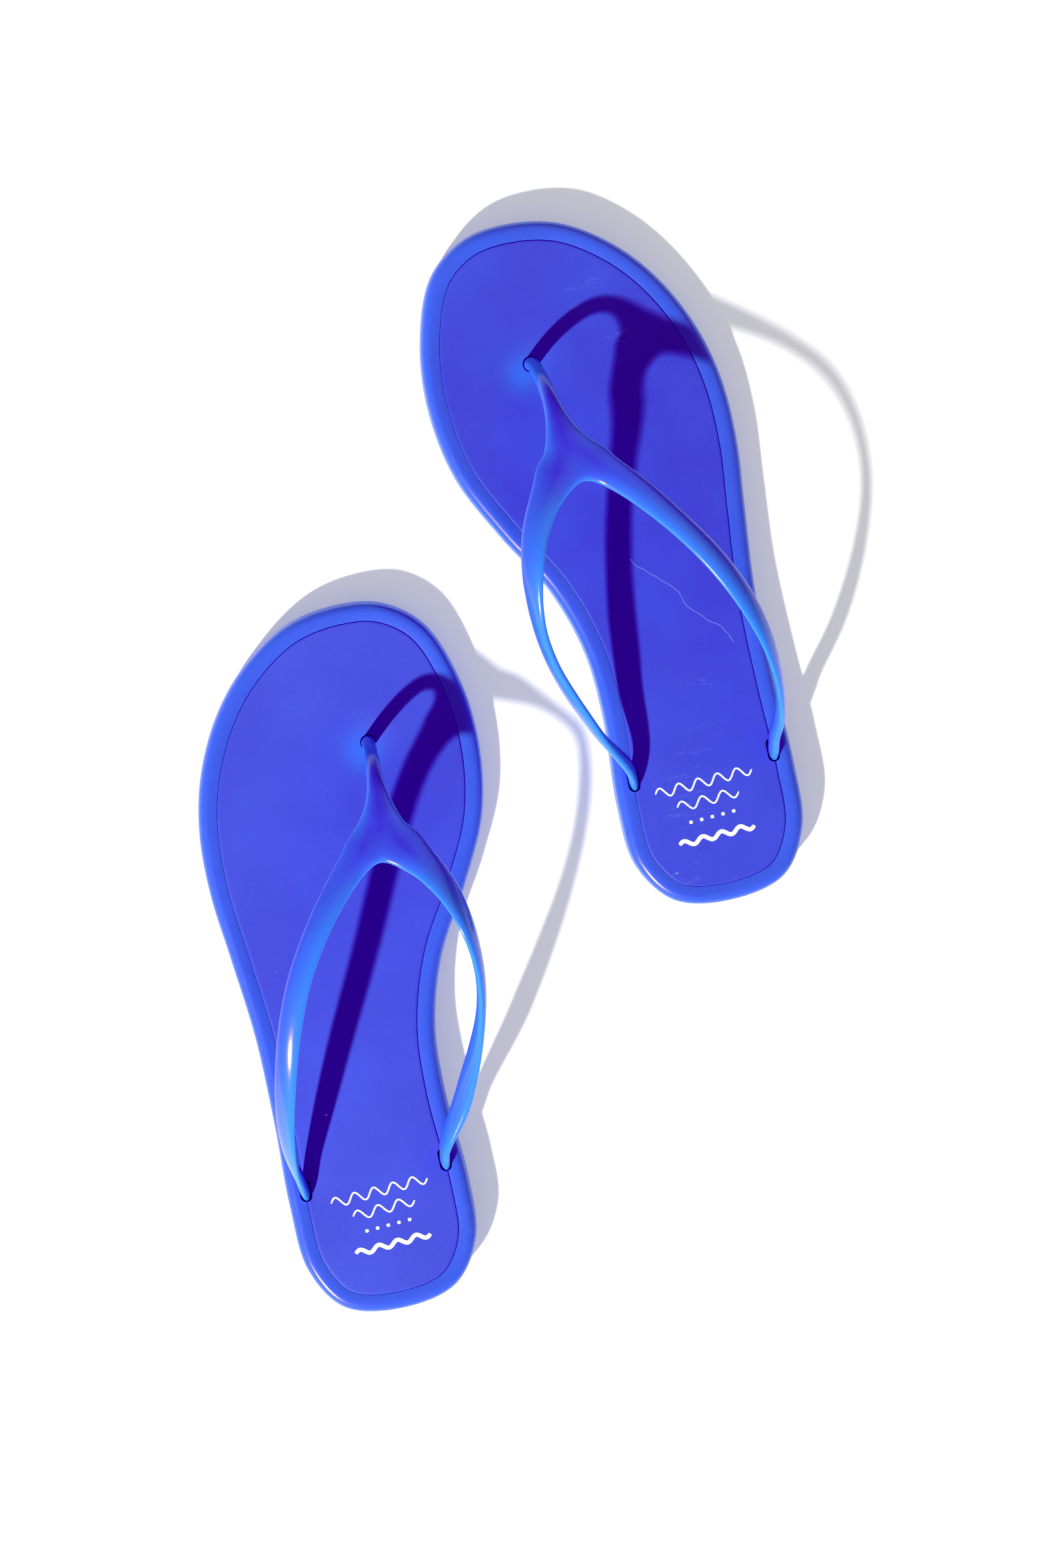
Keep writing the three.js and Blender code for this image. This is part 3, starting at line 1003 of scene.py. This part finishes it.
def noise(tree, vector, scale, detail, roughness=0.5):
    node = add_node(tree, "ShaderNodeTexNoise")
    tree.links.new(vector, node.inputs["Vector"])
    if isinstance(scale, bpy.types.NodeSocket):
        tree.links.new(scale, node.inputs["Scale"])
    else:
        node.inputs["Scale"].default_value = scale
    node.inputs["Detail"].default_value = detail
    node.inputs["Roughness"].default_value = roughness
    return node.outputs["Fac"]


# %% Cloudiness and painted glow group
cloudy_and_glow, cloudy_and_glow_in, cloudy_and_glow_out = new_group(
    "cloudy_plastic_and_painted_glow",
    [
        ("Deep", "NodeSocketColor", (0, 0, 0.3, 1)),
        ("Bright", "NodeSocketColor", (0, 0, 1, 1)),
        ("Patch Scale", "NodeSocketFloat", 30),
        ("Painted Glow", "NodeSocketFloat", 0),
        ("Glow", "NodeSocketColor", (0, 0.2, 1, 1)),
    ],
    [("Color", "NodeSocketColor")],
)
place = add_node(cloudy_and_glow, "ShaderNodeTexCoord")
patches = noise(cloudy_and_glow, place.outputs["Object"], cloudy_and_glow_in.outputs["Patch Scale"], 3)
soft = add_node(cloudy_and_glow, "ShaderNodeMapRange", interpolation_type="SMOOTHSTEP")
soft.inputs["From Min"].default_value = 0.3
soft.inputs["From Max"].default_value = 0.7
cloudy_and_glow.links.new(patches, soft.inputs["Value"])
body = add_node(cloudy_and_glow, "ShaderNodeMix", data_type="RGBA")
cloudy_and_glow.links.new(soft.outputs["Result"], body.inputs["Factor"])
cloudy_and_glow.links.new(cloudy_and_glow_in.outputs["Deep"], body.inputs["A"])
cloudy_and_glow.links.new(cloudy_and_glow_in.outputs["Bright"], body.inputs["B"])
# Painted glow: the Glow colour is mixed in where the stored glow value is high, standing in for
# light on the edges.
lit = add_node(cloudy_and_glow, "ShaderNodeMix", data_type="RGBA")
cloudy_and_glow.links.new(cloudy_and_glow_in.outputs["Painted Glow"], lit.inputs["Factor"])
cloudy_and_glow.links.new(body.outputs["Result"], lit.inputs["A"])
cloudy_and_glow.links.new(cloudy_and_glow_in.outputs["Glow"], lit.inputs["B"])
cloudy_and_glow.links.new(lit.outputs["Result"], cloudy_and_glow_out.inputs["Color"])

# %% Grain group
RIPPLE_SCALE = 120
RIPPLE_SHARE = 0.6
SMUDGE_SCALE = 45
grain, grain_in, grain_out = new_group(
    "mould_grain",
    [
        ("Grain Scale", "NodeSocketFloat", 2500),
        ("Gloss", "NodeSocketFloat", 0.3),
        ("Gloss Change", "NodeSocketFloat", 0.06),
    ],
    [("Height", "NodeSocketFloat"), ("Roughness", "NodeSocketFloat")],
)
place = add_node(grain, "ShaderNodeTexCoord")
pebble = noise(grain, place.outputs["Object"], grain_in.outputs["Grain Scale"], 2, 0.6)
ripple = noise(grain, place.outputs["Object"], RIPPLE_SCALE, 2)
height = math_node(grain, "MULTIPLY_ADD", ripple, RIPPLE_SHARE, pebble)
grain.links.new(height, grain_out.inputs["Height"])
smudges = noise(grain, place.outputs["Object"], SMUDGE_SCALE, 4)
centred = math_node(grain, "SUBTRACT", smudges, 0.5)
spread = math_node(grain, "MULTIPLY", centred, grain_in.outputs["Gloss Change"])
gloss = math_node(grain, "ADD", spread, grain_in.outputs["Gloss"])
grain.links.new(gloss, grain_out.inputs["Roughness"])

# %% Wear group
SPECK_CELLS = 140
SPECK_RARITY = 0.86  # the share of cells that stay clean
SCRATCH_TURN = math.radians(-33)
SCRATCH_STRETCH = (14, 160, 14)
SCRATCH_WIDTH = 0.0022
SCRATCH_PATCHES = 21
SCRATCH_RARITY = 0.68
wear, wear_in, wear_out = new_group(
    "specks_and_scratches",
    [
        ("Speck Size", "NodeSocketFloat", 0.035),
        ("Scratch Amount", "NodeSocketFloat", 0.5),
    ],
    [("Mask", "NodeSocketFloat")],
)
place = add_node(wear, "ShaderNodeTexCoord")
cells = add_node(wear, "ShaderNodeTexVoronoi", feature="F1")
cells.inputs["Scale"].default_value = SPECK_CELLS
wear.links.new(place.outputs["Object"], cells.inputs["Vector"])
near = math_node(wear, "LESS_THAN", cells.outputs["Distance"], wear_in.outputs["Speck Size"])
chosen = add_node(wear, "ShaderNodeSeparateColor")
wear.links.new(cells.outputs["Color"], chosen.inputs["Color"])
rare = math_node(wear, "GREATER_THAN", chosen.outputs["Red"], SPECK_RARITY)
specks = math_node(wear, "MULTIPLY", near, rare)
stretch = add_node(wear, "ShaderNodeMapping")
stretch.inputs["Rotation"].default_value = (0, 0, SCRATCH_TURN)
stretch.inputs["Scale"].default_value = SCRATCH_STRETCH
wear.links.new(place.outputs["Object"], stretch.inputs["Vector"])
streak = noise(wear, stretch.outputs["Vector"], 1, 5, 0.62)
thin_line = math_node(wear, "COMPARE", streak, 0.5, SCRATCH_WIDTH)
scuffed = noise(wear, place.outputs["Object"], SCRATCH_PATCHES, 2)
where = math_node(wear, "GREATER_THAN", scuffed, SCRATCH_RARITY)
scratch = math_node(wear, "MULTIPLY", thin_line, where)
scratch = math_node(wear, "MULTIPLY", scratch, wear_in.outputs["Scratch Amount"])
wear.links.new(math_node(wear, "MAXIMUM", specks, scratch), wear_out.inputs["Mask"])

# %% One long hairline across the right footbed
HAIRLINE_LENGTH = 48 * MM
HAIRLINE_CENTRE = feet[0].world((36, -94, 0))
HAIRLINE_TURN = math.radians(-49)
HAIRLINE_WANDER = 0.2  # how far it strays to both sides, as a share of its length
hairline, hairline_in, hairline_out = new_group(
    "hairline",
    [("Width", "NodeSocketFloat", 0.0016), ("Strength", "NodeSocketFloat", 0.4)],
    [("Mask", "NodeSocketFloat")],
)
place = add_node(hairline, "ShaderNodeTexCoord")
lay = add_node(hairline, "ShaderNodeMapping", vector_type="TEXTURE")
lay.inputs["Location"].default_value = HAIRLINE_CENTRE
lay.inputs["Rotation"].default_value = (0, 0, HAIRLINE_TURN)
lay.inputs["Scale"].default_value = (HAIRLINE_LENGTH, HAIRLINE_LENGTH, 1)
hairline.links.new(place.outputs["Object"], lay.inputs["Vector"])
axes = add_node(hairline, "ShaderNodeSeparateXYZ")
hairline.links.new(lay.outputs["Vector"], axes.inputs["Vector"])
stray = noise(hairline, axes.outputs["X"], 1.6, 2)
wander = math_node(hairline, "MULTIPLY", stray, HAIRLINE_WANDER)
centred = math_node(hairline, "SUBTRACT", wander, HAIRLINE_WANDER / 2)
aside = math_node(hairline, "SUBTRACT", axes.outputs["Y"], centred)
away = math_node(hairline, "ABSOLUTE", aside)
thin_line = math_node(hairline, "LESS_THAN", away, hairline_in.outputs["Width"])
from_middle = math_node(hairline, "ABSOLUTE", axes.outputs["X"])
along = math_node(hairline, "LESS_THAN", from_middle, 0.5)
mask = math_node(hairline, "MULTIPLY", thin_line, along)
faint = math_node(hairline, "MULTIPLY", mask, hairline_in.outputs["Strength"])
hairline.links.new(faint, hairline_out.inputs["Mask"])
print("node groups:", [g.name for g in (cloudy_and_glow, grain, wear, hairline)])


# %% [markdown]
# ## Painted glow
# The rim, the post and the edges of the strap are given a lighter, greener colour than the thick
# sole: a painted glow that stands in for light gathering in the thin, slightly translucent
# plastic.
# How strong it is gets stored on the mesh as a value from 0 to 1, and the cloudiness group turns
# it into colour. On the rim it grows where the surface stands upright, and on the footbed it is a
# pale patch round the toe hole. The strap's values were painted on its cage, so only the soles'
# are worked out here.

# %% Painted glow stored on the meshes
def store_painted_glow(obj, value_at):
    layer = obj.data.attributes.new("painted_glow", "FLOAT", "POINT")
    for i, vertex in enumerate(obj.data.vertices):
        layer.data[i].value = max(0.0, min(1.0, value_at(vertex)))


# Painted glow on the rim: this much on its flat top, more where the surface stands upright.
RIM_GLOW = 0.25
TOE_GLOW = 0.55
TOE_GLOW_PLACE = (-3, -2.5)
TOE_GLOW_RADIUS = 6.5


def toe_glow(foot, vertex):
    """A painted glow makes the footbed palest round the toe post's hole, where the hole pulls it
    down.
    """
    x = (vertex.co.x - foot.origin.x) / MM
    y = (vertex.co.y - foot.origin.y) / MM
    away = math.hypot(x - TOE_GLOW_PLACE[0], y - TOE_GLOW_PLACE[1]) / TOE_GLOW_RADIUS
    return TOE_GLOW * math.exp(-away * away)


def sideways(vertex):
    """0 where the surface lies flat, 1 where it stands upright."""
    return 1 - abs(vertex.normal.z)


for foot in feet:
    store_painted_glow(outsoles[foot.side], lambda v: RIM_GLOW + (1 - RIM_GLOW) * sideways(v))
    store_painted_glow(footbeds[foot.side], lambda v: toe_glow(foot, v))
    strap_glow = [point.value for point in straps[foot.side].data.attributes["painted_glow"].data]
    print(f"{foot.side} strap: thin places from {min(strap_glow):.2f} to {max(strap_glow):.2f}")


# %% [markdown]
# ## The plastics and the ink
# One recipe makes the three blue plastics: colour from the cloudiness group, with its painted
# glow on the edges, lightened by the specks, roughness and bump from the grain group, and a little
# light let in under the surface.
# They differ in gloss: the footbed is satin, the rim shinier and the strap is polished. The
# two glossy ones mirror what is around them in a slightly violet tint, as dyed plastic does.

# %% Recipe for the blue plastics
DUST_COLOUR = (0.5, 0.6, 1, 1)
BUMP_DISTANCE = 0.0001
LIGHT_REACH = 0.004  # how far light wanders under the surface, in metres


def blue_plastic(
    name, deep, bright, glow, shine, gloss, grain_scale, bump, scratch, soft_light,
    has_hairline=False,
):
    made = bpy.data.materials.new(name)
    made.use_nodes = True
    tree = made.node_tree
    surface = tree.nodes["Principled BSDF"]

    colour = add_node(tree, "ShaderNodeGroup", node_tree=cloudy_and_glow)
    colour.inputs["Deep"].default_value = deep
    colour.inputs["Bright"].default_value = bright
    colour.inputs["Glow"].default_value = glow
    # Painted glow: how strong the lighter edge colour is, read from the mesh.
    painted_glow = add_node(tree, "ShaderNodeAttribute", attribute_name="painted_glow")
    tree.links.new(painted_glow.outputs["Fac"], colour.inputs["Painted Glow"])

    marks = add_node(tree, "ShaderNodeGroup", node_tree=wear)
    marks.inputs["Scratch Amount"].default_value = scratch
    dusty = add_node(tree, "ShaderNodeMix", data_type="RGBA")
    dusty.inputs["B"].default_value = DUST_COLOUR
    mask = marks.outputs["Mask"]
    if has_hairline:
        line = add_node(tree, "ShaderNodeGroup", node_tree=hairline)
        mask = math_node(tree, "MAXIMUM", mask, line.outputs["Mask"])
    tree.links.new(mask, dusty.inputs["Factor"])
    tree.links.new(colour.outputs["Color"], dusty.inputs["A"])
    tree.links.new(dusty.outputs["Result"], surface.inputs["Base Color"])

    skin = add_node(tree, "ShaderNodeGroup", node_tree=grain)
    skin.inputs["Grain Scale"].default_value = grain_scale
    skin.inputs["Gloss"].default_value = gloss
    tree.links.new(skin.outputs["Roughness"], surface.inputs["Roughness"])
    relief = add_node(tree, "ShaderNodeBump")
    relief.inputs["Strength"].default_value = bump
    relief.inputs["Distance"].default_value = BUMP_DISTANCE
    tree.links.new(skin.outputs["Height"], relief.inputs["Height"])
    tree.links.new(relief.outputs["Normal"], surface.inputs["Normal"])

    surface.inputs["IOR"].default_value = 1.5
    surface.inputs["Specular Tint"].default_value = shine
    surface.inputs["Subsurface Weight"].default_value = soft_light
    surface.inputs["Subsurface Radius"].default_value = (0.15, 0.5, 1)
    surface.inputs["Subsurface Scale"].default_value = LIGHT_REACH
    return made


# %% The three blue plastics
# Each glow is the painted glow colour, a lighter, greener blue that stands in for light on the
# edges.
satin = blue_plastic(
    "satin_footbed_plastic",
    deep=(0.026, 0.04, 0.54, 1), bright=(0.029, 0.049, 0.59, 1), glow=(0.025, 0.18, 0.9, 1),
    shine=(1, 1, 1, 1), gloss=0.5, grain_scale=2600, bump=0.5, scratch=0.1, soft_light=0.1,
    has_hairline=True,
)
moulded = blue_plastic(
    "moulded_rim_plastic",
    deep=(0.034, 0.063, 0.56, 1), bright=(0.038, 0.074, 0.62, 1), glow=(0.03, 0.14, 0.85, 1),
    shine=(0.9, 0.62, 1, 1), gloss=0.28, grain_scale=2600, bump=0.2, scratch=0, soft_light=0.3,
)
polished = blue_plastic(
    "polished_strap_plastic",
    deep=(0.034, 0.05, 0.62, 1), bright=(0.038, 0.06, 0.69, 1), glow=(0.03, 0.25, 0.95, 1),
    shine=(1, 0.55, 1, 1), gloss=0.2, grain_scale=1500, bump=0.1, scratch=0, soft_light=0.4,
)

# %% White ink
white_ink = bpy.data.materials.new("white_screen_ink")
white_ink.use_nodes = True
ink_tree = white_ink.node_tree
ink_surface = ink_tree.nodes["Principled BSDF"]
ink_place = add_node(ink_tree, "ShaderNodeTexCoord")
coverage = add_node(ink_tree, "ShaderNodeMapRange")
coverage.inputs["From Min"].default_value = 0.3
coverage.inputs["From Max"].default_value = 0.42
ink_tree.links.new(noise(ink_tree, ink_place.outputs["Object"], 1400, 3), coverage.inputs["Value"])
ink_colour = add_node(ink_tree, "ShaderNodeMix", data_type="RGBA")
ink_colour.inputs["A"].default_value = (0.6, 0.66, 0.95, 1)
ink_colour.inputs["B"].default_value = (0.9, 0.92, 0.98, 1)
ink_tree.links.new(coverage.outputs["Result"], ink_colour.inputs["Factor"])
ink_tree.links.new(ink_colour.outputs["Result"], ink_surface.inputs["Base Color"])
ink_surface.inputs["Roughness"].default_value = 0.5

# %% Give each piece its material
for side in ("right", "left"):
    outsoles[side].data.materials.append(moulded)
    footbeds[side].data.materials.append(satin)
    straps[side].data.materials.append(polished)
    prints[side].data.materials.append(white_ink)
print("materials:", [m.name for m in (satin, moulded, polished, white_ink)])

# %% [markdown]
# ## Tie the pieces to the frame
# The sole bends across the ball of the foot. Each new outsole, footbed and strap takes the place
# of the frame's solids for it, which are hidden. The print lies well behind the bend and is hung
# on the sole's body, so it simply rides.

# %% Bodies and replaced solids
for foot in feet:
    side = foot.side
    pieces = (
        (outsoles[side], "outsole", [f"{side}_outsole_front", f"{side}_outsole_rear"]),
        (footbeds[side], "footbed", [f"{side}_footbed_front", f"{side}_footbed_rear"]),
        (straps[side], "strap", [f"{side}_strap"]),
    )
    for obj, slot_name, nodes in pieces:
        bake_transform(obj)
        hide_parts(*nodes)
    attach(prints[side], f"{side}_sole")

# %% [markdown]
# ## Floor, light and camera
# The pair lies on a plain pale floor in a studio. The main lamp is small, far off and to one
# side, as the sun is, so that the strap's shadow falls clearly on the footbed. A wide fill lamp
# and a pale sky soften the rest. The camera is a long lens high above the pair that leans a few
# degrees to one side.

# %% Floor
FLOOR_SIZE = 6
FLOOR_DROP = 0.0005  # keeps the floor clear of the soles
bpy.ops.mesh.primitive_plane_add(size=FLOOR_SIZE, location=(0, 0, -FLOOR_DROP))
floor = bpy.context.object
floor.name = "floor"
paper = bpy.data.materials.new("pale_paper")
paper.use_nodes = True
paper_surface = paper.node_tree.nodes["Principled BSDF"]
paper_surface.inputs["Base Color"].default_value = (0.9, 0.9, 0.9, 1)
paper_surface.inputs["Roughness"].default_value = 0.9
paper_surface.inputs["Emission Color"].default_value = (1, 1, 1, 1)
paper_surface.inputs["Emission Strength"].default_value = 0.22
floor.data.materials.append(paper)

# %% Camera
FRAME_HEIGHT = 0.566  # what the picture takes in, top to bottom, at the pair
CAMERA_HEIGHT = 1.6
SENSOR = 36
SIDE_LEAN = 0.1
TOE_LEAN = 0.14
ROLL = math.radians(12.35)
target = Vector((0.0084, -0.0097, 0.012))
right_way = Vector((math.cos(ROLL), -math.sin(ROLL), 0))
toe_way = Vector((math.sin(ROLL), math.cos(ROLL), 0))
camera_data = bpy.data.cameras.new("camera")
camera = bpy.data.objects.new("camera", camera_data)
bpy.context.scene.collection.objects.link(camera)
over_target = target + Vector((0, 0, CAMERA_HEIGHT))
camera.location = over_target - right_way * SIDE_LEAN + toe_way * TOE_LEAN
forward = (target - camera.location).normalized()
up_way = forward.cross(right_way).normalized() * -1
side_way = forward.cross(up_way).normalized()
camera.rotation_euler = Matrix((side_way, up_way, -forward)).transposed().to_euler()
camera_data.sensor_width = SENSOR
camera_data.lens = SENSOR * (target - camera.location).length / FRAME_HEIGHT
bpy.context.scene.camera = camera
print(f"camera {camera_data.lens:.0f} mm lens, {CAMERA_HEIGHT} m up")


# %% Lights
def lamp(name, where, size, power, colour):
    data = bpy.data.lights.new(name, "AREA")
    data.shape = "DISK"
    data.size = size
    data.energy = power
    data.color = colour
    made = bpy.data.objects.new(name, data)
    bpy.context.scene.collection.objects.link(made)
    made.location = where
    made.rotation_euler = (target - Vector(where)).to_track_quat("-Z", "Y").to_euler()
    return made


KEY_DISTANCE = 3
KEY_ELEVATION = math.radians(40)
key_way = Vector((-0.75, -0.66, 0)).normalized() * math.cos(KEY_ELEVATION)
key_way.z = math.sin(KEY_ELEVATION)
lamp("key_lamp", key_way * KEY_DISTANCE, size=0.118, power=128, colour=(1, 1, 1))
lamp("fill_lamp", Vector((0.9, 0.9, 1.4)), size=1.6, power=2, colour=(0.97, 0.93, 1))

# %% Sky
world = bpy.data.worlds.new("studio")
bpy.context.scene.world = world
world.use_nodes = True
sky = world.node_tree.nodes["Background"]
sky.inputs["Color"].default_value = (0.95, 0.95, 1, 1)
sky.inputs["Strength"].default_value = 0.36

# %% [markdown]
# ## A print-like grade
# In a printed picture, strong blue plastic in the sun loses nearly all its green in the shadows,
# which turn indigo, and keeps it in the lit edges, which stay azure. A curve on the green of the
# finished picture does the same. It leaves everything brighter than its last point as it is, so
# the pale floor stays neutral.

# %% Grade
GREEN_CURVE = ((0.035, 0.004), (0.08, 0.072), (0.14, 0.155), (0.22, 0.225), (0.36, 0.36))
view = bpy.context.scene.view_settings
view.view_transform = "Standard"
view.use_curve_mapping = True
green = view.curve_mapping.curves[1]
for plain, graded in GREEN_CURVE:
    green.points.new(plain, graded)
view.curve_mapping.update()
print("the green curve has", len(green.points), "points")
